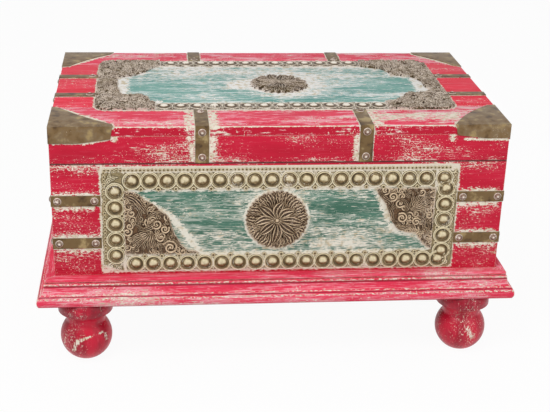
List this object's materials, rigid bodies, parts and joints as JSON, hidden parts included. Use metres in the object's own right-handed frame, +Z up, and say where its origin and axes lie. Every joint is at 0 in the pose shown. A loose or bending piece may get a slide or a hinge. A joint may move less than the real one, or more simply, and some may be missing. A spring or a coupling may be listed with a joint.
{
  "type": "storage chest",
  "caption": "Painted wooden chest with a hinged lid, moulded plinth, turned feet, and embossed brass borders, rosettes, straps and corner caps.",
  "frame": {"origin": "on the floor under the middle of the chest", "axes": "+X to the right along the width, -Y out of the front, +Z up"},
  "size_m": [0.914, 0.558, 0.4836],
  "materials": {
    "red_wood": "crimson paint, brushed and worn to cream undercoat",
    "teal_wood": "teal paint, brushed and worn to cream undercoat",
    "bare_wood": "plain wood inside",
    "embossed_brass": "aged embossed brass sheet with whitish residue in its hollows",
    "hinge_brass": "aged brass"
  },
  "bodies": {
    "chest": {"front_left_stile": "red_wood", "front_right_stile": "red_wood", "front_top_rail": "red_wood", "front_bottom_rail": "red_wood", "back_board": "red_wood", "left_end_board": "red_wood", "right_end_board": "red_wood", "plinth_front": "red_wood", "plinth_back": "red_wood", "plinth_left": "red_wood", "plinth_right": "red_wood", "foot_front_left": "red_wood", "foot_front_right": "red_wood", "foot_back_left": "red_wood", "foot_back_right": "red_wood", "front_panel": "teal_wood", "bottom_board": "bare_wood", "front_border_top": "embossed_brass", "front_border_bottom": "embossed_brass", "front_border_left": "embossed_brass", "front_border_right": "embossed_brass", "front_scroll_left": "embossed_brass", "front_scroll_right": "embossed_brass", "front_rosette": "embossed_brass", "left_body_straps": "embossed_brass", "right_body_straps": "embossed_brass", "body_strap_nails": "embossed_brass", "hinge_left_body_leaf": "hinge_brass", "hinge_right_body_leaf": "hinge_brass", "hinge_pins": "hinge_brass", "hinge_body_screws": "hinge_brass"},
    "lid": {"lid_front_rail": "red_wood", "lid_back_rail": "red_wood", "lid_left_rail": "red_wood", "lid_right_rail": "red_wood", "lid_front_board": "red_wood", "lid_back_board": "red_wood", "lid_left_board": "red_wood", "lid_right_board": "red_wood", "lid_panel": "teal_wood", "lid_border_front": "embossed_brass", "lid_border_back": "embossed_brass", "lid_end_sheet_left": "embossed_brass", "lid_end_sheet_right": "embossed_brass", "lid_rosette": "embossed_brass", "lid_front_strap_left": "embossed_brass", "lid_front_strap_right": "embossed_brass", "lid_back_strap_left": "embossed_brass", "lid_back_strap_right": "embossed_brass", "lid_left_end_straps": "embossed_brass", "lid_right_end_straps": "embossed_brass", "lid_cap_front_left": "embossed_brass", "lid_cap_front_right": "embossed_brass", "lid_cap_back_left": "embossed_brass", "lid_cap_back_right": "embossed_brass", "lid_strap_nails": "embossed_brass", "hinge_left_lid_leaf": "hinge_brass", "hinge_right_lid_leaf": "hinge_brass", "hinge_lid_screws": "hinge_brass"}
  },
  "joints": [
    {"name": "lid_hinge", "type": "hinge", "parent": "chest", "child": "lid", "pos_m": [0, 0.2498, 0.4053], "axis": [-1, 0, 0], "range_deg": [0, 100]}
  ]
}
